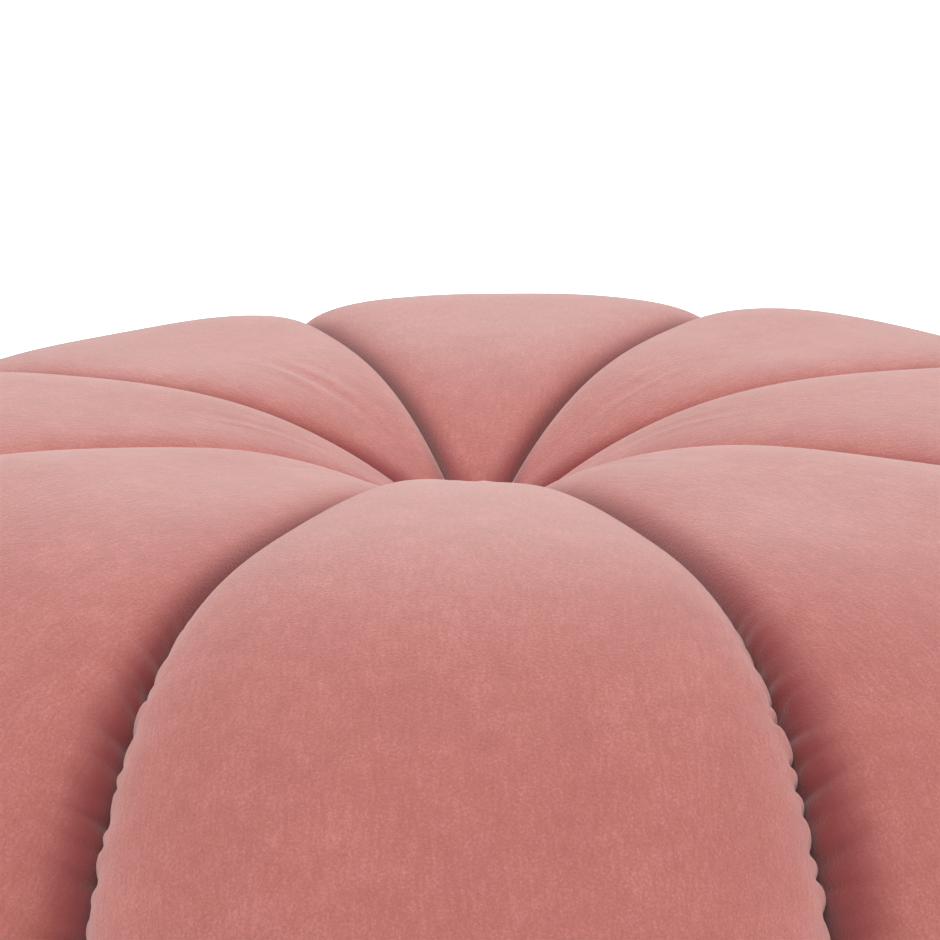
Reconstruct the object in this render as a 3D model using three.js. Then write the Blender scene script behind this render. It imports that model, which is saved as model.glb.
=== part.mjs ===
// A round velvet pouf of eight plump sewn lobes, in millimetres, +Z up.
// The origin is on the floor under the middle, and lobe_1 faces the front, -Y.
import * as THREE from "three";

// Clearance between one piece and the next
const PIECE_GAP = 0.3;

// Line along the middle of a lobe: out of the sunk centre, over the shoulder, down the side, and under.
// It is widest, at sideRadius, where it has come down by shoulderDrop.
const CREST = {
  centreHeight: 333,
  topRadius: 124,
  topHeight: 378,
  dimplePower: 2.9,
  sideRadius: 270,
  shoulderDrop: 298,
  shoulderPower: 2.7,
  footRadius: 208,
  footPower: 2.3,
};

// Line along a sewn seam, drawn in below the crests on both sides of it
const SEAM = {
  centreHeight: 333,
  topRadius: 121,
  topHeight: 361,
  dimplePower: 2.3,
  sideRadius: 224,
  shoulderDrop: 240,
  shoulderPower: 2.85,
  footRadius: 200,
  footPower: 2.3,
};

// Swelling of a lobe from seam to seam: a rounded section, full in the middle and steep at the seams
const SECTION_ACROSS_POWER = 2.6;
const SECTION_OUT_POWER = 3;

// The lobes aren't quite alike. seamShift moves the seam after the lobe anticlockwise, measured along
// the side, and rise lifts the lobe's middle. Both fade out towards the sunk centre.
const LOBES = [
  { name: "lobe_1", seamShift: 2.5, rise: -1.5 },
  { name: "lobe_2", seamShift: -2, rise: -1.5 },
  { name: "lobe_3", seamShift: 3, rise: 0 },
  { name: "lobe_4", seamShift: -7, rise: -3 },
  { name: "lobe_5", seamShift: -1, rise: -3 },
  { name: "lobe_6", seamShift: -3.5, rise: -5.5 },
  { name: "lobe_7", seamShift: -3, rise: 0 },
  { name: "lobe_8", seamShift: 7, rise: -1 },
];
const RISE_FULL_RADIUS = 108;

// The round of plain cloth that closes the underside and rests on the floor
const BASE_RADIUS = 194;
const BASE_THICKNESS = 3;
const BASE_SIDES = 72;

// Fineness of the faceted surfaces
const DIMPLE_STEPS = 9;
const SHOULDER_STEPS = 16;
const FOOT_STEPS = 7;
const SECTION_STEPS = 18;

const UNDERSIDE_HEIGHT = BASE_THICKNESS + PIECE_GAP;
const FRONT = -Math.PI / 2;
const QUARTER_TURN = Math.PI / 2;
const LOBE_ANGLE = (2 * Math.PI) / LOBES.length;

// A quarter of a rounded square: out grows from 0 to 1 while left shrinks from 1 to 0
function roundedCorner(share, outPower, leftPower) {
  const angle = share * QUARTER_TURN;
  return {
    out: Math.sin(angle) ** (2 / outPower),
    left: Math.max(0, Math.cos(angle)) ** (2 / leftPower),
  };
}

// From the sunk centre up to the top of the line
function dimplePoint(line, share) {
  const climb = 1 - (1 - share) ** line.dimplePower;
  return {
    radius: line.topRadius * share,
    height: line.centreHeight + (line.topHeight - line.centreHeight) * climb,
  };
}

// From the top of the line over the shoulder to its widest place
function shoulderPoint(line, share) {
  const corner = roundedCorner(share, line.shoulderPower, line.shoulderPower);
  return {
    radius: line.topRadius + (line.sideRadius - line.topRadius) * corner.out,
    height: line.topHeight - line.shoulderDrop * (1 - corner.left),
  };
}

// From the widest place round and under to the flat underside
function footPoint(line, share) {
  const corner = roundedCorner(share, line.footPower, line.footPower);
  const widestHeight = line.topHeight - line.shoulderDrop;
  return {
    radius: line.footRadius + (line.sideRadius - line.footRadius) * corner.left,
    height: widestHeight - (widestHeight - UNDERSIDE_HEIGHT) * corner.out,
  };
}

// A whole line, from the centre of the top to the middle of the underside
function linePoints(line) {
  const points = [];
  for (let step = 0; step < DIMPLE_STEPS; step += 1) {
    points.push(dimplePoint(line, step / DIMPLE_STEPS));
  }
  for (let step = 0; step < SHOULDER_STEPS; step += 1) {
    points.push(shoulderPoint(line, step / SHOULDER_STEPS));
  }
  for (let step = 0; step <= FOOT_STEPS; step += 1) {
    points.push(footPoint(line, step / FOOT_STEPS));
  }
  points.push({ radius: 0, height: UNDERSIDE_HEIGHT });
  return points;
}

// Direction of the seam after the lobe with this number. The first lobe is 0, and its other seam is -1.
function seamAngle(index) {
  const lobe = LOBES[(index + LOBES.length) % LOBES.length];
  return FRONT + (index + 0.5) * LOBE_ANGLE + lobe.seamShift / SEAM.sideRadius;
}

// The places across a lobe: across runs from -1 to 1, seam to seam, and swell from 0 to 1 and back
function sectionStations() {
  const stations = [];
  for (let step = 0; step <= SECTION_STEPS; step += 1) {
    const side = (2 * step) / SECTION_STEPS - 1;
    const corner = roundedCorner(Math.abs(side), SECTION_ACROSS_POWER, SECTION_OUT_POWER);
    stations.push({ across: Math.sign(side) * corner.out, swell: corner.left });
  }
  return stations;
}

// One point of a lobe's skin, between its seams and its crest. The rise stretches the lobe upwards,
// and leaves its seams, its underside and its place at the sunk centre as they are.
function skinPoint(crest, seam, station, rise, middle, halfWidth) {
  const radius = seam.radius + (crest.radius - seam.radius) * station.swell;
  const flatHeight = seam.height + (crest.height - seam.height) * station.swell;
  const heightShare = (flatHeight - UNDERSIDE_HEIGHT) / (CREST.topHeight - UNDERSIDE_HEIGHT);
  const middleShare = Math.min(1, radius / RISE_FULL_RADIUS) * (1 - station.across ** 2);
  const angle = middle + station.across * halfWidth;
  const height = flatHeight + rise * heightShare * middleShare;
  return new THREE.Vector3(radius * Math.cos(angle), radius * Math.sin(angle), height);
}

// Triangles between neighbouring rows of the skin. The first and last rows are single points.
function skinTriangles(rowStarts, rowLength) {
  const triangles = [];
  for (let row = 0; row < rowStarts.length - 1; row += 1) {
    const fromPoint = row === 0;
    const toPoint = row === rowStarts.length - 2;
    for (let step = 0; step < rowLength - 1; step += 1) {
      const near = rowStarts[row] + (fromPoint ? 0 : step);
      const nearNext = rowStarts[row] + (fromPoint ? 0 : step + 1);
      const far = rowStarts[row + 1] + (toPoint ? 0 : step);
      const farNext = rowStarts[row + 1] + (toPoint ? 0 : step + 1);
      if (!fromPoint) triangles.push(near, far, nearNext);
      if (!toPoint) triangles.push(nearNext, far, farNext);
    }
  }
  return triangles;
}

// The two flat sides, where the lobe meets its neighbours: fans from a point on the pouf's axis
function sideTriangles(rowStarts, rowLength, axisPoint) {
  const triangles = [];
  const last = rowStarts.length - 1;
  for (let row = 0; row < last; row += 1) {
    const endOffset = row === 0 ? 0 : rowLength - 1;
    const nextEndOffset = row + 1 === last ? 0 : rowLength - 1;
    triangles.push(axisPoint, rowStarts[row + 1], rowStarts[row]);
    triangles.push(axisPoint, rowStarts[row] + endOffset, rowStarts[row + 1] + nextEndOffset);
  }
  return triangles;
}

// A filled lobe: its skin, and the two flat sides that run in to the axis
function lobeGeometry(index) {
  const middle = (seamAngle(index - 1) + seamAngle(index)) / 2;
  const halfWidth = (seamAngle(index) - seamAngle(index - 1)) / 2;
  const crestPoints = linePoints(CREST);
  const seamPoints = linePoints(SEAM);
  const stations = sectionStations();
  const points = [];
  const rowStarts = [];
  crestPoints.forEach((crest, row) => {
    rowStarts.push(points.length);
    const isEnd = row === 0 || row === crestPoints.length - 1;
    const rowStations = isEnd ? stations.slice(0, 1) : stations;
    for (const station of rowStations) {
      points.push(skinPoint(crest, seamPoints[row], station, LOBES[index].rise, middle, halfWidth));
    }
  });
  const axisPoint = points.length;
  points.push(new THREE.Vector3(0, 0, SEAM.centreHeight / 2));

  // Moving the wedge outwards opens half of the clearance on each of its sides
  const outwards = PIECE_GAP / 2 / Math.sin(halfWidth);
  const geometry = new THREE.BufferGeometry().setFromPoints(points);
  geometry.translate(outwards * Math.cos(middle), outwards * Math.sin(middle), 0);
  geometry.setIndex([
    ...skinTriangles(rowStarts, stations.length),
    ...sideTriangles(rowStarts, stations.length, axisPoint),
  ]);
  geometry.computeVertexNormals();
  return geometry;
}

// The round base panel, lying flat on the floor
function basePanelGeometry() {
  const geometry = new THREE.CylinderGeometry(BASE_RADIUS, BASE_RADIUS, BASE_THICKNESS, BASE_SIDES);
  geometry.rotateX(QUARTER_TURN);
  geometry.translate(0, 0, BASE_THICKNESS / 2);
  return geometry;
}

function velvetMaterial() {
  return new THREE.MeshStandardMaterial({ color: "#c98a83", roughness: 0.9, metalness: 0 });
}

function baseClothMaterial() {
  return new THREE.MeshStandardMaterial({ color: "#4b4341", roughness: 0.95, metalness: 0 });
}

function namedMesh(name, geometry, material) {
  const mesh = new THREE.Mesh(geometry, material);
  mesh.name = name;
  return mesh;
}

const pouf = new THREE.Group();
LOBES.forEach((lobe, index) => pouf.add(namedMesh(lobe.name, lobeGeometry(index), velvetMaterial())));
pouf.add(namedMesh("base_panel", basePanelGeometry(), baseClothMaterial()));

export default pouf;
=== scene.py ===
"""A round velvet pouf of eight plump sewn lobes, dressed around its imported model. Sizes are in metres."""

import math

import bpy
import numpy as np
from mathutils import Matrix, Vector


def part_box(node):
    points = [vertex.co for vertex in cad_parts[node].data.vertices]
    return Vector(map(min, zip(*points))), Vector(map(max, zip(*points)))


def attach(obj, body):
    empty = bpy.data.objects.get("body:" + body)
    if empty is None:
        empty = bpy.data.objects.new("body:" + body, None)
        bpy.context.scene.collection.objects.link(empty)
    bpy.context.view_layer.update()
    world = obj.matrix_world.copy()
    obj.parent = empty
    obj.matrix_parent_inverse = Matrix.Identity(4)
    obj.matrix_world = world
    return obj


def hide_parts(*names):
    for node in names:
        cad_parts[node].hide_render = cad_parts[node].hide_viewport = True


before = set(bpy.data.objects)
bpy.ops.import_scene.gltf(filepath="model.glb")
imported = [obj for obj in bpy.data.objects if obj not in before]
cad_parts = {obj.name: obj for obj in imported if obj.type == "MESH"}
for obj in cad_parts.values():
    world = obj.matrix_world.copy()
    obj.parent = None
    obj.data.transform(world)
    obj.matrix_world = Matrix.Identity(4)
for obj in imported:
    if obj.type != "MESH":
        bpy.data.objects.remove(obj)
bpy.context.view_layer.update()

scene = bpy.context.scene
collection = scene.collection

# The camera.
# It stands close in front of the pouf, a little above it, with a long lens, and looks down over the near
# lobe at the sunk centre. It is turned a few degrees off the pouf's own front.
camera_distance = 0.857
camera_height = 0.580
camera_turn = math.radians(2.78)
camera_pan = math.radians(0.08)
camera_pitch = math.radians(14.62)
camera_roll = math.radians(-0.99)
camera_lens = 126.2

camera_data = bpy.data.cameras.new("camera")
camera_data.lens = camera_lens
camera_data.sensor_width = 36
camera_data.clip_start = 0.01
camera = bpy.data.objects.new("camera", camera_data)
collection.objects.link(camera)
camera.matrix_world = (
    Matrix.Rotation(camera_turn, 4, "Z")
    @ Matrix.Translation((0, -camera_distance, camera_height))
    @ Matrix.Rotation(camera_pan, 4, "Z")
    @ Matrix.Rotation(math.pi / 2 - camera_pitch, 4, "X")
    @ Matrix.Rotation(camera_roll, 4, "Z")
)
scene.camera = camera

# The floor and the light.
# A plain white studio floor runs out to a white surround, under five broad soft lamps and a pale glow from
# above. The camera sees floor and surround fade into one white behind the pouf, and that white lights nothing.
floor_half_width = 30
floor_colour = (0.93, 0.925, 0.92, 1)
white_glow = (1, 1, 1, 1)
floor_glow_near = 0.42
floor_glow_far = 1.0
floor_near = 0.45
floor_far = 1.7
sky_glow = 0.27
sky_start_height = 0.4
sky_full_height = 0.6
lamp_aim = Vector((0, 0, 0.3))
soft_lamps = (
    {"name": "overhead_lamp", "place": (-0.4, 0.7, 2.2), "size": 2.4, "watts": 12},
    {"name": "front_lamp", "place": (0, -2.2, 1.9), "size": 1.4, "watts": 24},
    {"name": "left_lamp", "place": (-2.2, -0.6, 1.2), "size": 1.4, "watts": 18},
    {"name": "right_lamp", "place": (2.2, -0.6, 1.2), "size": 1.4, "watts": 24},
    {"name": "back_lamp", "place": (0, 2.3, 1.6), "size": 1.8, "watts": 22},
)

scene.view_settings.view_transform = "Standard"


def spread(tree, value, low, high, to_low, to_high):
    """A value's range from low to high, stretched to another range and held at its ends."""
    node = tree.nodes.new("ShaderNodeMapRange")
    for socket, number in (("From Min", low), ("From Max", high), ("To Min", to_low), ("To Max", to_high)):
        node.inputs[socket].default_value = number
    tree.links.new(value, node.inputs["Value"])
    return node.outputs["Result"]


def joined(tree, operation, first, second):
    """The sum, product or other join of two values, each a socket or a number."""
    node = tree.nodes.new("ShaderNodeMath")
    node.operation = operation
    for socket, value in zip(node.inputs, (first, second)):
        if isinstance(value, bpy.types.NodeSocket):
            tree.links.new(value, socket)
        else:
            socket.default_value = value
    return node.outputs[0]


def sky_world():
    """Full white for the camera, and for all else a surround, dark low down, that glows evenly overhead."""
    world = bpy.data.worlds.new("surround")
    world.use_nodes = True
    tree = world.node_tree
    background = tree.nodes["Background"]
    background.inputs["Color"].default_value = white_glow
    direction = tree.nodes.new("ShaderNodeTexCoord")
    axes = tree.nodes.new("ShaderNodeSeparateXYZ")
    tree.links.new(direction.outputs["Generated"], axes.inputs["Vector"])
    sky = spread(tree, axes.outputs["Z"], sky_start_height, sky_full_height, 0, sky_glow)
    seen = tree.nodes.new("ShaderNodeLightPath").outputs["Is Camera Ray"]
    tree.links.new(joined(tree, "MAXIMUM", sky, seen), background.inputs["Strength"])
    return world


def floor_mesh():
    """One flat square at height 0, far wider than the pouf."""
    side = floor_half_width
    corners = [(-side, -side, 0), (side, -side, 0), (side, side, 0), (-side, side, 0)]
    mesh = bpy.data.meshes.new("floor")
    mesh.from_pydata(corners, [], [(0, 1, 2, 3)])
    return mesh


def floor_material():
    """White floor whose glow, for the camera alone, grows with the distance from the pouf."""
    material = bpy.data.materials.new("floor_white")
    material.use_nodes = True
    tree = material.node_tree
    shader = tree.nodes["Principled BSDF"]
    where = tree.nodes.new("ShaderNodeTexCoord")
    distance = tree.nodes.new("ShaderNodeVectorMath")
    distance.operation = "LENGTH"
    tree.links.new(where.outputs["Object"], distance.inputs[0])
    glow = spread(tree, distance.outputs["Value"], floor_near, floor_far, floor_glow_near, floor_glow_far)
    seen = tree.nodes.new("ShaderNodeLightPath").outputs["Is Camera Ray"]
    tree.links.new(joined(tree, "MULTIPLY", glow, seen), shader.inputs["Emission Strength"])
    shader.inputs["Emission Color"].default_value = white_glow
    shader.inputs["Base Color"].default_value = floor_colour
    shader.inputs["Roughness"].default_value = 0.9
    return material


scene.world = sky_world()
floor = bpy.data.objects.new("floor", floor_mesh())
floor.data.materials.append(floor_material())
collection.objects.link(floor)

for soft_lamp in soft_lamps:
    lamp_data = bpy.data.lights.new(soft_lamp["name"], "AREA")
    lamp_data.shape = "DISK"
    lamp_data.size = soft_lamp["size"]
    lamp_data.energy = soft_lamp["watts"]
    lamp = bpy.data.objects.new(soft_lamp["name"], lamp_data)
    lamp.location = Vector(soft_lamp["place"])
    lamp.rotation_euler = (lamp_aim - lamp.location).to_track_quat("-Z", "Y").to_euler()
    collection.objects.link(lamp)

# The eight lobes.
# Each is a long leaf of pile velvet, sewn to its neighbours along both sides and filled with foam, so that it
# swells out from seam to seam. It starts at the sunk centre, goes over the shoulder and down, and turns under.
lobe_names = [name for name in sorted(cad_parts) if name.startswith("lobe_")]
lobe_top = max(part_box(name)[1].z for name in lobe_names)
underside_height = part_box("lobe_1")[0].z

crest_line = {
    "centre_height": 0.333,
    "top_radius": 0.124,
    "top_height": lobe_top,
    "dimple_power": 2.9,
    "side_radius": 0.270,
    "shoulder_drop": 0.298,
    "shoulder_power": 2.7,
    "foot_radius": 0.208,
    "foot_power": 2.3,
}
seam_line = {
    "centre_height": 0.333,
    "top_radius": 0.121,
    "top_height": 0.361,
    "dimple_power": 2.3,
    "side_radius": 0.224,
    "shoulder_drop": 0.240,
    "shoulder_power": 2.85,
    "foot_radius": 0.200,
    "foot_power": 2.3,
}
section_across_power = 2.6
section_out_power = 3.0
section_half_width = 0.10
section_depth = 0.046
rise_full_radius = 0.108
piece_clearance = 0.0003
span_radius = 0.15

# How far the stuffing stands off its even shape: by the centre, further out, and leaning over to one side
lobe_settling = {
    "lobe_1": {"inner": -0.0010, "outer": 0.0005, "lean": -0.0010},
    "lobe_2": {"inner": 0, "outer": -0.0015, "lean": 0.0006},
    "lobe_3": {"inner": -0.0005, "outer": -0.0010, "lean": 0.0010},
    "lobe_4": {"inner": 0, "outer": 0, "lean": 0.0007},
    "lobe_5": {"inner": 0, "outer": -0.0004, "lean": 0},
    "lobe_6": {"inner": 0, "outer": -0.0002, "lean": 0},
    "lobe_7": {"inner": -0.0015, "outer": -0.0005, "lean": -0.0006},
    "lobe_8": {"inner": -0.0020, "outer": 0.0035, "lean": -0.0015},
}
settling_full_radius = 0.140
settling_inner_radius = 0.080
settling_start_radius = 0.05
lean_full_radius = 0.09


def line_points(line, along):
    """Radius and height along a crest or a seam. From 0 to 1 the line climbs out of the centre as
    1 - (1 - share)^power, from 1 to 2 it goes over the shoulder and from 2 to 3 it turns under, both as
    quarters of a rounded square, sin^(2/power) by cos^(2/power), and from 3 to 4 it runs in flat."""
    dimple = np.clip(along, 0, 1)
    shoulder = np.clip(along - 1, 0, 1) * math.pi / 2
    foot = np.clip(along - 2, 0, 1) * math.pi / 2
    under = np.clip(along - 3, 0, 1)
    top, widest = line["top_height"], line["top_height"] - line["shoulder_drop"]
    power = 2 / line["shoulder_power"]
    foot_power = 2 / line["foot_power"]
    climb = line["centre_height"] + (top - line["centre_height"]) * (1 - (1 - dimple) ** line["dimple_power"])
    over = top - line["shoulder_drop"] * (1 - np.maximum(np.cos(shoulder), 0) ** power)
    turn = widest - (widest - underside_height) * np.sin(foot) ** foot_power
    height = np.where(along < 1, climb, np.where(along < 2, over, turn))
    inner = line["top_radius"] * dimple
    outer = (line["side_radius"] - line["top_radius"]) * np.sin(shoulder) ** power
    shrink = (line["side_radius"] - line["foot_radius"]) * (1 - np.maximum(np.cos(foot), 0) ** foot_power)
    radius = (inner + outer - shrink) * (1 - under)
    return radius, height


def even_stations(points_at, start, end, count, sharpness):
    """Parameter values from start to end whose points lie at even steps of length, or of length weighted
    by sharpness, a function of the parameter that says how fine the steps are."""
    dense = np.linspace(start, end, 4001)
    places = points_at(dense)
    steps = np.sqrt(sum(np.diff(axis) ** 2 for axis in places))
    weight = sharpness((dense[1:] + dense[:-1]) / 2)
    length = np.concatenate([[0], np.cumsum(steps * weight)])
    return np.interp(np.linspace(0, length[-1], count), length, dense)


def lobe_span(name):
    """Directions of a lobe's two seams and its middle, and how far its top lies below the highest lobe's,
    read from its solid: the least and greatest direction of its points that lie far out."""
    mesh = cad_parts[name].data
    places = np.empty(len(mesh.vertices) * 3)
    mesh.vertices.foreach_get("co", places)
    places = places.reshape(-1, 3)
    outer = places[np.hypot(places[:, 0], places[:, 1]) > span_radius]
    middle = math.atan2(outer[:, 1].mean(), outer[:, 0].mean())
    turned = np.angle(np.exp(1j * (np.arctan2(outer[:, 1], outer[:, 0]) - middle)))
    return middle + turned.min(), middle + turned.max(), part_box(name)[1].z - lobe_top


gather_rows = 500
smooth_rows = 56
lobe_columns = 96
smooth_row_share = 0.25
fine_rows_from = 1.1


def section_points(side):
    """A lobe's rounded section at its widest: across as sin^(2/power), and out as cos^(2/power)."""
    across = np.sign(side) * np.sin(np.abs(side) * math.pi / 2) ** (2 / section_across_power)
    swell = np.maximum(np.cos(side * math.pi / 2), 0) ** (2 / section_out_power)
    return across * section_half_width, swell * section_depth


def lobe_stations():
    """The rows along a lobe and the columns across it. Rows are fine below the shoulder, where the seams are
    gathered, and columns are finer towards the seams."""
    rows = even_stations(
        lambda along: line_points(crest_line, along), 0, 3, smooth_rows + gather_rows,
        lambda along: np.where(along < fine_rows_from, smooth_row_share, 1.0),
    )
    columns = even_stations(section_points, -1, 1, lobe_columns, lambda side: 0.35 + np.abs(side) ** 6)
    return rows, columns


def eased(share):
    """A smooth step from 0 to 1: 3 x^2 - 2 x^3 of the share, held at its ends."""
    share = np.clip(share, 0, 1)
    return share**2 * (3 - 2 * share)


def settled(name, radius, height_share, across):
    """How far a lobe stands above its even shape: its settling by the centre and further out, each fading into
    the other, as 1 - across^2, and its lean, as 2 across (1 - across^2), all fading downwards as the square of
    the height."""
    settling = lobe_settling[name]
    outer_share = eased((radius - settling_inner_radius) / (settling_full_radius - settling_inner_radius))
    inner_share = eased(radius / settling_start_radius) * (1 - outer_share)
    middle = settling["inner"] * inner_share + settling["outer"] * outer_share
    lean = settling["lean"] * 2 * across * eased(radius / lean_full_radius)
    return height_share**2 * (1 - across**2) * (middle + lean)


def lobe_surface(name, along, side):
    """Points of a lobe's skin for whole arrays: each row goes from seam to seam, swelling from the seam line to
    the crest line as cos^(2/power) while it crosses as sin^(2/power)."""
    start, end, rise = lobe_span(name)
    crest_radius, crest_height = line_points(crest_line, along)
    seam_radius, seam_height = line_points(seam_line, along)
    across = np.sign(side) * np.sin(np.abs(side) * math.pi / 2) ** (2 / section_across_power)
    swell = np.maximum(np.cos(side * math.pi / 2), 0) ** (2 / section_out_power)
    radius = seam_radius + (crest_radius - seam_radius) * swell
    height = seam_height + (crest_height - seam_height) * swell
    height_share = (height - underside_height) / (lobe_top - underside_height)
    height = height + rise * height_share * np.minimum(1, radius / rise_full_radius) * (1 - across**2)
    height = height + settled(name, radius, height_share, across)
    angle = (start + end) / 2 + across * (end - start) / 2
    return np.stack([radius * np.cos(angle), radius * np.sin(angle), height], axis=-1)


def grid_normals(points):
    """Unit normals of a grid of points: the cross product of its steps down and across."""
    down = np.gradient(points, axis=0)
    across = np.gradient(points, axis=1)
    normals = np.cross(down, across)
    return normals / np.maximum(np.linalg.norm(normals, axis=-1, keepdims=True), 1e-12)


def length_down(line):
    """Distance along a line of points from its first one, as the running sum of its steps."""
    return np.concatenate([[0], np.cumsum(np.linalg.norm(np.diff(line, axis=0), axis=-1))])


def distances_from_seams(points):
    """Distance of every grid point from the first column and from the last, measured along its row."""
    steps = np.linalg.norm(np.diff(points, axis=1), axis=-1)
    from_first = np.concatenate([np.zeros((len(points), 1)), np.cumsum(steps, axis=1)], axis=1)
    return from_first, from_first[:, -1:] - from_first


# The stuffing.
# The foam inside a lobe is a little firmer here and softer there, and the cloth is drawn tight over it. Each
# cover is let settle over its own foam by cloth simulation, and the unevenness that comes of it is kept.
settle_rows = 110
settle_columns = 36
settle_scale = 10
settle_frames = 20
settle_pressure = 4
foam_hold = 0.20
foam_variation = 0.15
foam_cells = ((14, 5, 0.6), (30, 10, 0.4))
settle_cap = 0.0012
foam_seed = 31
settle_fade = 0.020
settle_start_row = 0.25
settle_start_rows = 0.4
settle_end_rows = 0.3


def smooth_noise(shape, cells, random):
    """Random values on a coarse lattice of cells, carried smoothly to a finer grid of the given shape."""
    values = random.normal(0, 1, (cells[0] + 2, cells[1] + 2))
    row, column = np.linspace(0, cells[0], shape[0]), np.linspace(0, cells[1], shape[1])
    low_row, low_column = row.astype(int), column.astype(int)
    row_share, column_share = eased(row - low_row)[:, None], eased(column - low_column)
    upper = values[np.ix_(low_row, low_column)] * (1 - column_share)
    upper = upper + values[np.ix_(low_row, low_column + 1)] * column_share
    lower = values[np.ix_(low_row + 1, low_column)] * (1 - column_share)
    lower = lower + values[np.ix_(low_row + 1, low_column + 1)] * column_share
    return upper * (1 - row_share) + lower * row_share


def settled_heights(points, hold):
    """How far the cloth stands off a grid of points once it has settled, in metres: a Cloth held at the seams
    and, as firmly as hold says, by the foam, with a light pressure inside and no gravity."""
    rows, columns = hold.shape
    index = np.arange(rows * columns).reshape(rows, columns)
    quads = np.stack([index[:-1, :-1], index[1:, :-1], index[1:, 1:], index[:-1, 1:]], axis=-1).reshape(-1, 4)
    mesh = bpy.data.meshes.new("settling_cloth")
    mesh.from_pydata((points.reshape(-1, 3) * settle_scale).tolist(), [], quads.tolist())
    panel = bpy.data.objects.new("settling_cloth", mesh)
    collection.objects.link(panel)
    group = panel.vertex_groups.new(name="held")
    for weight in np.unique(hold):
        group.add(np.nonzero(hold.ravel() == weight)[0].tolist(), float(weight), "REPLACE")
    cloth = panel.modifiers.new("cloth", "CLOTH")
    cloth.settings.quality = 5
    cloth.settings.vertex_group_mass = "held"
    cloth.settings.use_pressure = True
    cloth.settings.uniform_pressure_force = settle_pressure
    cloth.settings.effector_weights.gravity = 0
    cloth.point_cache.frame_start = 1
    cloth.point_cache.frame_end = settle_frames
    for frame_number in range(1, settle_frames + 1):
        scene.frame_set(frame_number)
    settled = panel.evaluated_get(bpy.context.evaluated_depsgraph_get()).data
    places = np.empty(rows * columns * 3)
    settled.vertices.foreach_get("co", places)
    bpy.data.objects.remove(panel)
    bpy.data.meshes.remove(mesh)
    scene.frame_set(1)
    moved = places.reshape(rows, columns, 3) / settle_scale - points
    return np.sum(moved * grid_normals(points), axis=-1)


def foam_firmness(seed):
    """How firmly the foam holds each point of a settling cover, from 0 to 1, with the seams held fast. No seed
    means even foam."""
    hold = np.full((settle_rows, settle_columns), foam_hold)
    if seed is not None:
        random = np.random.default_rng(seed)
        for down, across, share in foam_cells:
            hold = hold + foam_variation * share * smooth_noise(hold.shape, (down, across), random)
    hold = np.clip(np.round(hold, 2), 0.02, 1)
    hold[[0, -1]] = 1
    hold[:, [0, -1]] = 1
    return hold


def unevenness(name, seed, rows, columns):
    """Relief of one lobe's uneven stuffing on the fine grid: how far its cover settles from where it would over
    even foam, capped, faded out at its edges and read off the coarse grid in between."""
    coarse_rows = even_stations(
        lambda along: line_points(crest_line, along), 0, 3, settle_rows + 1, lambda along: np.ones_like(along)
    )[1:]
    coarse_columns = even_stations(section_points, -1, 1, settle_columns, lambda side: np.ones_like(side))
    along, side = np.meshgrid(coarse_rows, coarse_columns, indexing="ij")
    points = lobe_surface(name, along, side)
    relief = settled_heights(points, foam_firmness(seed)) - settled_heights(points, foam_firmness(None))
    relief = settle_cap * np.tanh(relief / settle_cap)
    from_first, from_last = distances_from_seams(points)
    relief = relief * eased(np.minimum(from_first, from_last) / settle_fade)
    start_share = eased((coarse_rows - settle_start_row) / settle_start_rows)
    relief = relief * (start_share * eased((3 - coarse_rows) / settle_end_rows))[:, None]
    across = np.stack([np.interp(columns, coarse_columns, line) for line in relief])
    return np.stack([np.interp(rows, coarse_rows, line) for line in across.T], axis=1)


# The gathers.
# The cloth is a little longer than the seam it is sewn to, so below the shoulder the thread pinches it every
# few millimetres, and between two pinches it puffs up in a small rounded tuft. Softer folds reach further out.
gather_pitch = 0.0062
gather_mean = 0.5
gather_hold = 0.009
gather_reach_high = 0.75
gather_lean = 0.5
gather_start = 1.10
gather_full = 1.32
gather_spread_from = 1.15
gather_spread_over = 0.35
gather_end_rows = 0.3
gather_edge = 0.004
fold_pitch = 0.0135
fold_hold = 0.014
fold_reach = 0.028
fold_sharpness = 1.2
# Painted shade by the seams: the velvet's colour is darkened where the crease's shade falls, fully within the
# hold and gone at the reach, narrower on the tops, less on the tufts' tops, and lessened deep down in the
# pinches.
crease_hold = 0.013
crease_reach = 0.027
crease_depth = 0.006
crease_share_on_top = 0.5
crease_widens_from = 0.95
crease_widens_over = 0.55
crease_lit_on_tufts = 0.35
tuft_light_cap = 0.3
depth_left_in_pinches = 0.4
pinches_per_seam = 130

# Every other lobe has full, short tufts and a narrow band of painted crease shade, and the lobes between have
# lower, longer tufts and a wide band. Deep is how far from the seam the deepest painted shade starts.
gather_kinds = (
    {"height": 0.0017, "reach": 0.0175, "sharpness": 1.0, "fold_height": 0.0005, "crease": 0.5, "deep": 0.013},
    {"height": 0.0010, "reach": 0.026, "sharpness": 1.4, "fold_height": 0.0012, "crease": 1.0, "deep": 0.016},
)

# How hard the thread pulls and how wide the painted crease shade is, seam by seam, from the one clockwise
# of the first lobe
seam_pull = (0.75, 1.0, 0.8, 0.95, 0.7, 0.85, 0.9, 0.8)
crease_shade_width = (0.94, 1.12, 1.0, 1.05, 1.0, 0.95, 1.05, 1.0)


def pinch_places(seam_number, pitch, salt):
    """Where the thread of one seam pinches the cloth, in metres from its top, for the lobes on both sides."""
    random = np.random.default_rng(1000 * salt + seam_number)
    return np.concatenate([[-0.05], -0.05 + np.cumsum(pitch * random.uniform(0.85, 1.15, pinches_per_seam))])


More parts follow.
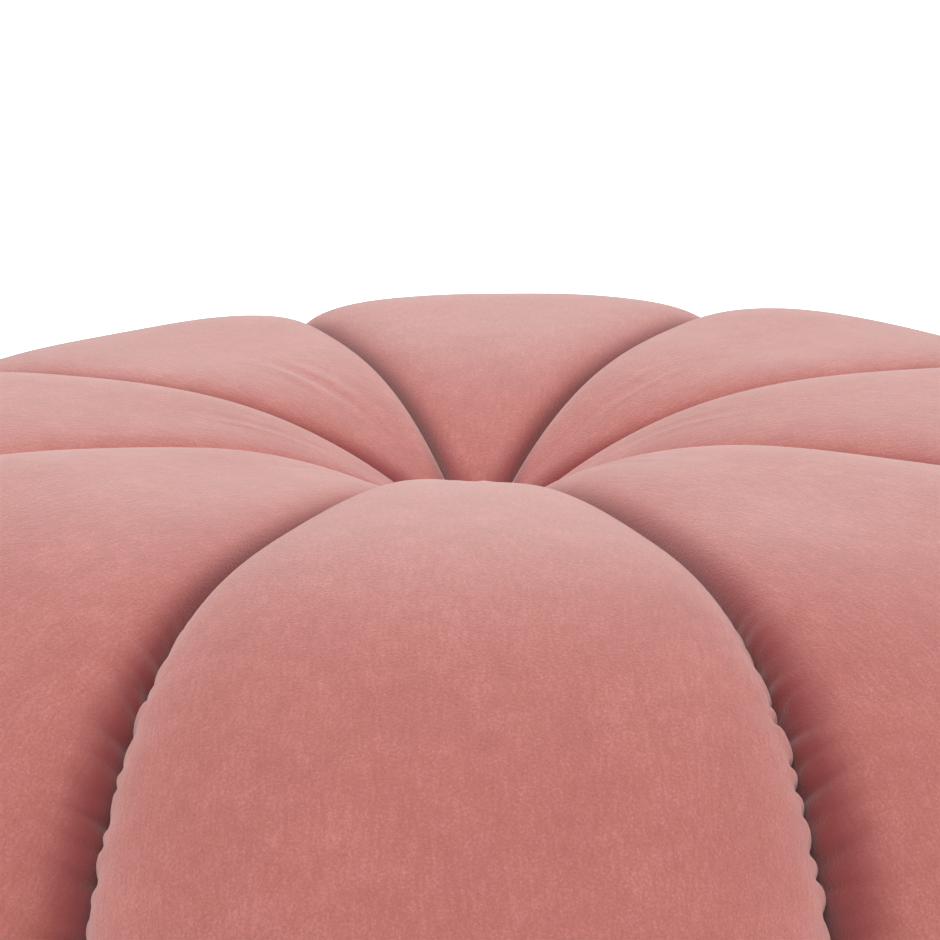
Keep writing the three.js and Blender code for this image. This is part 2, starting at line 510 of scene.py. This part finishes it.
def puffs(down, from_seam, pinches, reach, hold, sharpness, random):
    """Relief of the tufts beside one seam. Each is a small cushion, (1 - u^2 - v^4)^sharpness, with u its place
    between its two pinches, from -1 to 1, and v the distance from the seam as a share of the tuft's own reach,
    less the mean. The tufts climb outwards: each point takes its tuft from lower on the seam, by lean times its
    distance."""
    count = len(pinches)
    lean = gather_lean * random.uniform(0.7, 1.3, count)
    place = down[:, None] + np.interp(down, pinches, lean)[:, None] * from_seam
    phase = np.interp(place, pinches, np.arange(count))
    number = np.minimum(phase.astype(int), count - 1)
    height = random.uniform(0.75, 1.2, count)[number]
    own_reach = (reach * random.uniform(0.88, 1.1, count))[number]
    between = 2 * (phase - number) - 1
    outward = (from_seam / own_reach) ** 2
    fade = eased((own_reach - from_seam) / (own_reach - hold))
    return height * np.maximum(1 - between**2 - outward**2, 0) ** sharpness - gather_mean * fade


def gathered(points, rows, seam_numbers):
    """Relief and painted shade of the gathers on a lobe: small tufts, and softer folds that reach further, on
    both sides. Tufts and the painted crease shade widen downwards, and seam_numbers names the lobe's two seams.
    The painted shade is 0 on the open cloth and 1 in the crease, and rises to 2 deep down. It is a little less
    on the tops of the tufts."""
    kind = gather_kinds[seam_numbers[0] % 2]
    full_share = eased((rows - gather_start) / (gather_full - gather_start))
    strength = (full_share * eased((3.0 - rows) / gather_end_rows))[:, None]
    widened_share = eased((rows - crease_widens_from) / crease_widens_over)
    crease_scale = (crease_share_on_top + (kind["crease"] - crease_share_on_top) * widened_share)[:, None]
    spread_share = eased((rows - gather_spread_from) / gather_spread_over)
    spread_down = (gather_reach_high + (1 - gather_reach_high) * spread_share)[:, None]
    relief = np.zeros(points.shape[:2])
    shade = np.zeros(points.shape[:2])
    for from_seam, column, seam in zip(distances_from_seams(points), (0, -1), seam_numbers):
        random = np.random.default_rng(70 + 2 * seam + column)
        down = length_down(points[:, column])
        pinches = pinch_places(seam, gather_pitch, 1)
        near = from_seam / spread_down
        tufts = puffs(down, near, pinches, kind["reach"], gather_hold, kind["sharpness"], random)
        fold_pinches = pinch_places(seam, fold_pitch, 2)
        folds = puffs(down, from_seam, fold_pinches, fold_reach, fold_hold, fold_sharpness, random)
        away = np.clip(from_seam / gather_edge, 0, 1)
        relief += seam_pull[seam] * strength * away * (kind["height"] * tufts + kind["fold_height"] * folds)
        # The painted crease shade, and the deeper painted shade close to the seam.
        nearness = from_seam / (crease_scale * crease_shade_width[seam])
        crease = eased((crease_reach - nearness) / (crease_reach - crease_hold))
        lit = crease_lit_on_tufts * strength * np.minimum(tufts, tuft_light_cap)
        crease = crease - lit * (1 - crease)
        depth = strength * eased((kind["deep"] - nearness) / (kind["deep"] - crease_depth))
        depth = depth * (1 - (1 - depth_left_in_pinches) * np.clip(-2 * tufts, 0, 1))
        shade = np.maximum(shade, crease + depth)
    return relief, np.clip(shade, 0, 2)


def kept_in_wedge(points, middle, half_width):
    """Points turned back to the seam's own direction where the relief took them past it, as two lobes press
    flat against each other."""
    radius = np.hypot(points[..., 0], points[..., 1])
    turned = np.angle(np.exp(1j * (np.arctan2(points[..., 1], points[..., 0]) - middle)))
    angle = middle + np.clip(turned, -half_width, half_width)
    return np.stack([radius * np.cos(angle), radius * np.sin(angle), points[..., 2]], axis=-1)


def closed_lobe_mesh(name, points, shade, middle, half_width):
    """A grid of skin points closed by a flat fan on either side, from a point on the pouf's axis, and drawn
    out from the axis by half of the clearance between pieces. Its map holds metres across and down the skin,
    and its seam shade attribute holds the painted shade of the gathers."""
    rows, columns = points.shape[:2]
    outwards = piece_clearance / 2 / math.sin(half_width)
    shift = np.array([outwards * math.cos(middle), outwards * math.sin(middle), 0])
    centre = np.array([[0, 0, crest_line["centre_height"]], [0, 0, underside_height], [0, 0, 0.16]])
    vertices = np.concatenate([points.reshape(-1, 3), centre]) + shift
    index = np.arange(rows * columns).reshape(rows, columns)
    top, bottom, axis = rows * columns, rows * columns + 1, rows * columns + 2
    quads = np.stack([index[:-1, :-1], index[1:, :-1], index[1:, 1:], index[:-1, 1:]], axis=-1).reshape(-1, 4)
    caps = [np.stack([np.full(columns - 1, top), index[0, :-1], index[0, 1:]], axis=-1)]
    caps.append(np.stack([np.full(columns - 1, bottom), index[-1, 1:], index[-1, :-1]], axis=-1))
    first = np.concatenate([[top], index[:, 0], [bottom]])
    last = np.concatenate([[top], index[:, -1], [bottom]])
    fans = [np.stack([np.full(rows + 1, axis), first[1:], first[:-1]], axis=-1)]
    fans.append(np.stack([np.full(rows + 1, axis), last[:-1], last[1:]], axis=-1))
    mesh = bpy.data.meshes.new(name)
    mesh.from_pydata(vertices.tolist(), [], quads.tolist() + np.concatenate(caps + fans).tolist())
    skin_faces = len(quads) + 2 * (columns - 1)
    mesh.polygons.foreach_set("use_smooth", np.arange(len(mesh.polygons)) < skin_faces)
    middle_column = columns // 2
    from_first, from_last = distances_from_seams(points)
    across = from_first - from_first[:, middle_column:middle_column + 1]
    down = np.broadcast_to(length_down(points[:, middle_column])[:, None], across.shape)
    places = np.concatenate([np.stack([across, down], axis=-1).reshape(-1, 2), np.zeros((3, 2))])
    corners = np.empty(len(mesh.loops), dtype=int)
    mesh.loops.foreach_get("vertex_index", corners)
    mesh.uv_layers.new(name="skin").data.foreach_set("uv", places[corners].ravel())
    # The painted shade of the gathers, stored on the points for the velvet to read.
    shades = np.concatenate([shade.ravel(), [0, 0, 2]])
    mesh.attributes.new("painted_seam_shade", "FLOAT", "POINT").data.foreach_set("value", shades)
    return mesh


# The velvet.
# Short dense pile in dusty pink: seen straight on it is a deep coral, and it pales where it is seen along its
# tips. The pile is brushed unevenly, so it is cloudy and finely speckled, and shade is painted into it by the
# seams.
velvet_colour = (0.585, 0.180, 0.152)
velvet_cool = (0.582, 0.176, 0.158)
velvet_light = (0.80, 0.31, 0.28)
velvet_dark = (0.44, 0.11, 0.10)
# Painted shade: the dark reds that the pile's colour is darkened to in the creases and deep down by the seams.
painted_crease_shade = (0.33, 0.056, 0.059)
painted_deep_shade = (0.32, 0.043, 0.046)
sheen_tint = (1.0, 0.92, 0.89, 1)
sheen_weight = 0.61
sheen_roughness = 0.6


def cloth_clouds_group():
    """Values from 0 to 1 that vary over a cloth: broad clouds, fine speckle, and both at their own scales."""
    group = bpy.data.node_groups.new("cloth_clouds", "ShaderNodeTree")
    sides = (("Vector", "INPUT", "NodeSocketVector"), ("Cloud Scale", "INPUT", "NodeSocketFloat"),
             ("Speckle Scale", "INPUT", "NodeSocketFloat"), ("Clouds", "OUTPUT", "NodeSocketFloat"),
             ("Patches", "OUTPUT", "NodeSocketFloat"), ("Speckle", "OUTPUT", "NodeSocketFloat"))
    for name, way, kind in sides:
        group.interface.new_socket(name, in_out=way, socket_type=kind)
    enter = group.nodes.new("NodeGroupInput")
    leave = group.nodes.new("NodeGroupOutput")
    for output, scale, factor, detail in (("Clouds", "Cloud Scale", 1, 3), ("Patches", "Cloud Scale", 4, 2),
                                          ("Speckle", "Speckle Scale", 1, 2)):
        noise = group.nodes.new("ShaderNodeTexNoise")
        noise.inputs["Detail"].default_value = detail
        finer = group.nodes.new("ShaderNodeMath")
        finer.operation = "MULTIPLY"
        finer.inputs[1].default_value = factor
        group.links.new(enter.outputs["Vector"], noise.inputs["Vector"])
        group.links.new(enter.outputs[scale], finer.inputs[0])
        group.links.new(finer.outputs[0], noise.inputs["Scale"])
        group.links.new(noise.outputs["Fac"], leave.inputs[output])
    return group


cloth_clouds = cloth_clouds_group()


def mixed(tree, share, first, second):
    """A mix of two colours, each a socket or a colour."""
    node = tree.nodes.new("ShaderNodeMix")
    node.data_type = "RGBA"
    tree.links.new(share, node.inputs["Factor"])
    for socket, colour in zip((node.inputs[6], node.inputs[7]), (first, second)):
        if isinstance(colour, bpy.types.NodeSocket):
            tree.links.new(colour, socket)
        else:
            socket.default_value = (*colour, 1)
    return node.outputs[2]


def velvet_material():
    """Velvet with a soft sheen: clouds, patches, brush strokes and speckle lighten and darken its pile, a fine
    bump roughens it, and the painted shade of the gathers turns it dark towards the seams."""
    material = bpy.data.materials.new("pink_velvet")
    material.use_nodes = True
    tree = material.node_tree
    shader = tree.nodes["Principled BSDF"]
    where = tree.nodes.new("ShaderNodeTexCoord")
    clouds = tree.nodes.new("ShaderNodeGroup")
    clouds.node_tree = cloth_clouds
    clouds.inputs["Cloud Scale"].default_value = 22
    clouds.inputs["Speckle Scale"].default_value = 1500
    tree.links.new(where.outputs["Object"], clouds.inputs["Vector"])

    strokes_place = tree.nodes.new("ShaderNodeMapping")
    strokes_place.inputs["Scale"].default_value = (900, 170, 1)
    strokes = tree.nodes.new("ShaderNodeTexNoise")
    strokes.inputs["Scale"].default_value = 1
    strokes.inputs["Detail"].default_value = 2
    tree.links.new(where.outputs["UV"], strokes_place.inputs["Vector"])
    tree.links.new(strokes_place.outputs["Vector"], strokes.inputs["Vector"])

    shade = tree.nodes.new("ShaderNodeAttribute")
    shade.attribute_name = "painted_seam_shade"

    hues = tree.nodes.new("ShaderNodeGroup")
    hues.node_tree = cloth_clouds
    hues.inputs["Cloud Scale"].default_value = 60
    hues.inputs["Speckle Scale"].default_value = 2600
    tree.links.new(where.outputs["Object"], hues.inputs["Vector"])

    cloudy = spread(tree, clouds.outputs["Clouds"], 0.3, 0.7, -0.05, 0.05)
    patchy = spread(tree, clouds.outputs["Patches"], 0.3, 0.7, -0.05, 0.05)
    mottled = spread(tree, hues.outputs["Patches"], 0.3, 0.7, -0.05, 0.05)
    speckled = spread(tree, clouds.outputs["Speckle"], 0.3, 0.7, -0.12, 0.12)
    stroked = spread(tree, strokes.outputs["Fac"], 0.3, 0.7, -0.07, 0.07)
    bright_tips = spread(tree, hues.outputs["Speckle"], 0.58, 0.72, 0, 0.22)
    dark_gaps = spread(tree, hues.outputs["Speckle"], 0.28, 0.42, -0.2, 0)
    uneven = joined(tree, "ADD", joined(tree, "ADD", cloudy, patchy), joined(tree, "ADD", speckled, stroked))
    grainy = joined(tree, "ADD", joined(tree, "ADD", bright_tips, dark_gaps), mottled)
    lightness = joined(tree, "ADD", joined(tree, "ADD", uneven, grainy), 0.5)
    warmth = joined(tree, "ADD", hues.outputs["Clouds"], hues.outputs["Patches"])
    pile = mixed(tree, spread(tree, warmth, 0.8, 1.2, 0, 1), velvet_colour, velvet_cool)
    pile = mixed(tree, spread(tree, lightness, 0.5, 1, 0, 1), pile, velvet_light)
    pile = mixed(tree, spread(tree, lightness, 0.5, 0, 0, 1), pile, velvet_dark)
    # Painted shade: towards the seams the pile's colour is darkened to the crease shade, and deep down to a
    # darker red.
    pile = mixed(tree, spread(tree, shade.outputs["Fac"], 0, 1, 0, 0.85), pile, painted_crease_shade)
    pile = mixed(tree, spread(tree, shade.outputs["Fac"], 1, 2, 0, 1), pile, painted_deep_shade)
    tree.links.new(pile, shader.inputs["Base Color"])

    bump = tree.nodes.new("ShaderNodeBump")
    bump.inputs["Strength"].default_value = 0.5
    bump.inputs["Distance"].default_value = 0.0004
    stroke_relief = joined(tree, "MULTIPLY", strokes.outputs["Fac"], 0.6)
    fine_relief = joined(tree, "MULTIPLY", hues.outputs["Speckle"], 0.6)
    relief = joined(tree, "ADD", clouds.outputs["Speckle"], stroke_relief)
    relief = joined(tree, "ADD", relief, fine_relief)
    tree.links.new(relief, bump.inputs["Height"])
    tree.links.new(bump.outputs["Normal"], shader.inputs["Normal"])

    shader.inputs["Roughness"].default_value = 0.85
    shader.inputs["Specular IOR Level"].default_value = 0.1
    shader.inputs["Sheen Weight"].default_value = sheen_weight
    shader.inputs["Sheen Roughness"].default_value = sheen_roughness
    shader.inputs["Sheen Tint"].default_value = sheen_tint
    return material


velvet = velvet_material()
row_stations, column_stations = lobe_stations()
row_stations = row_stations[1:]
row_grid, column_grid = np.meshgrid(row_stations, column_stations, indexing="ij")
for number, name in enumerate(lobe_names):
    start, end, rise = lobe_span(name)
    middle, half_width = (start + end) / 2, (end - start) / 2
    points = lobe_surface(name, row_grid, column_grid)
    seams = (number, (number + 1) % len(lobe_names))
    relief, shade = gathered(points, row_stations, seams)
    relief = relief + unevenness(name, foam_seed + number, row_stations, column_stations)
    points = kept_in_wedge(points + grid_normals(points) * relief[..., None], middle, half_width)
    mesh = closed_lobe_mesh(name + "_cover", points, shade, middle, half_width)
    cover = bpy.data.objects.new(name + "_cover", mesh)
    collection.objects.link(cover)
    cover.data.materials.append(velvet)
    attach(cover, "root")
    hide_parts(name)

# The base cloth.
# A round of plain black-brown woven cloth closes the underside, its edge turned under and sewn down, and the
# pouf rests on it.
base_low, base_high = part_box("base_panel")
base_radius = (base_high.x - base_low.x) / 2
base_thickness = base_high.z - base_low.z
base_edge_radius = 0.0012
base_hem_width = 0.012
base_sides = 240
base_colour = (0.075, 0.062, 0.058)
base_light = (0.13, 0.11, 0.10)


def base_profile():
    """Radius and height down the cloth's section, from the middle of its upper face round the soft edge to the
    middle of its lower face, with a shallow groove where the turned hem is sewn down."""
    bend = np.linspace(0, math.pi / 2, 6)
    hem = base_radius - base_hem_width
    grooves = np.array([0.0, 0.4, 0.85, 0.95, 0.98]) * hem
    upper = [(radius, base_thickness) for radius in grooves]
    upper += [(hem, base_thickness), (hem + 0.001, base_thickness - 0.0005), (hem + 0.002, base_thickness)]
    edge_out = base_radius - base_edge_radius
    top_edge = [(edge_out + base_edge_radius * math.sin(a),
                 base_thickness - base_edge_radius * (1 - math.cos(a))) for a in bend]
    low_edge = [(edge_out + base_edge_radius * math.cos(a), base_edge_radius * (1 - math.sin(a))) for a in bend]
    lower = [(hem + 0.002, 0), (hem + 0.001, 0.0005), (hem, 0)]
    lower += [(radius, 0) for radius in grooves[::-1]]
    return np.array(upper + top_edge + low_edge + lower)


def base_mesh():
    """The profile turned round the pouf's axis: radius by cosine and sine of evenly spaced angles."""
    radius, height = base_profile().T
    angle = np.arange(base_sides) * 2 * math.pi / base_sides
    rings = np.stack([radius[1:-1, None] * np.cos(angle), radius[1:-1, None] * np.sin(angle),
                      np.broadcast_to(height[1:-1, None], (len(radius) - 2, base_sides))], axis=-1)
    poles = np.array([[0, 0, height[0]], [0, 0, height[-1]]])
    index = np.arange(rings[..., 0].size).reshape(rings.shape[:2])
    turned = np.roll(index, -1, axis=1)
    quads = np.stack([index[:-1], index[1:], turned[1:], turned[:-1]], axis=-1).reshape(-1, 4)
    top = np.stack([np.full(base_sides, index.size), index[0], turned[0]], axis=-1)
    low = np.stack([np.full(base_sides, index.size + 1), turned[-1], index[-1]], axis=-1)
    mesh = bpy.data.meshes.new("base_cloth")
    vertices = np.concatenate([rings.reshape(-1, 3), poles])
    mesh.from_pydata(vertices.tolist(), [], quads.tolist() + top.tolist() + low.tolist())
    mesh.polygons.foreach_set("use_smooth", [True] * len(mesh.polygons))
    return mesh


def base_cloth_material():
    """Dark woven cloth: two crossed sets of threads, with faint clouds over them, give its colour and bump."""
    material = bpy.data.materials.new("base_woven_cloth")
    material.use_nodes = True
    tree = material.node_tree
    shader = tree.nodes["Principled BSDF"]
    where = tree.nodes.new("ShaderNodeTexCoord")
    clouds = tree.nodes.new("ShaderNodeGroup")
    clouds.node_tree = cloth_clouds
    clouds.inputs["Cloud Scale"].default_value = 30
    clouds.inputs["Speckle Scale"].default_value = 900
    tree.links.new(where.outputs["Object"], clouds.inputs["Vector"])
    threads = []
    for direction in ("X", "Y"):
        wave = tree.nodes.new("ShaderNodeTexWave")
        wave.bands_direction = direction
        wave.inputs["Scale"].default_value = 260
        wave.inputs["Distortion"].default_value = 0.6
        wave.inputs["Detail Scale"].default_value = 0.4
        tree.links.new(where.outputs["Object"], wave.inputs["Vector"])
        threads.append(wave.outputs["Fac"])
    weave = joined(tree, "MULTIPLY", threads[0], threads[1])
    tone = joined(tree, "ADD", joined(tree, "MULTIPLY", weave, 0.6),
                  joined(tree, "MULTIPLY", clouds.outputs["Clouds"], 0.4))
    tree.links.new(mixed(tree, tone, base_colour, base_light), shader.inputs["Base Color"])
    bump = tree.nodes.new("ShaderNodeBump")
    bump.inputs["Strength"].default_value = 0.5
    bump.inputs["Distance"].default_value = 0.0003
    tree.links.new(joined(tree, "ADD", weave, joined(tree, "MULTIPLY", clouds.outputs["Speckle"], 0.3)),
                   bump.inputs["Height"])
    tree.links.new(bump.outputs["Normal"], shader.inputs["Normal"])
    shader.inputs["Roughness"].default_value = 0.92
    shader.inputs["Specular IOR Level"].default_value = 0.15
    return material


base_cloth = bpy.data.objects.new("base_cloth", base_mesh())
base_cloth.data.materials.append(base_cloth_material())
collection.objects.link(base_cloth)
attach(base_cloth, "root")
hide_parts("base_panel")
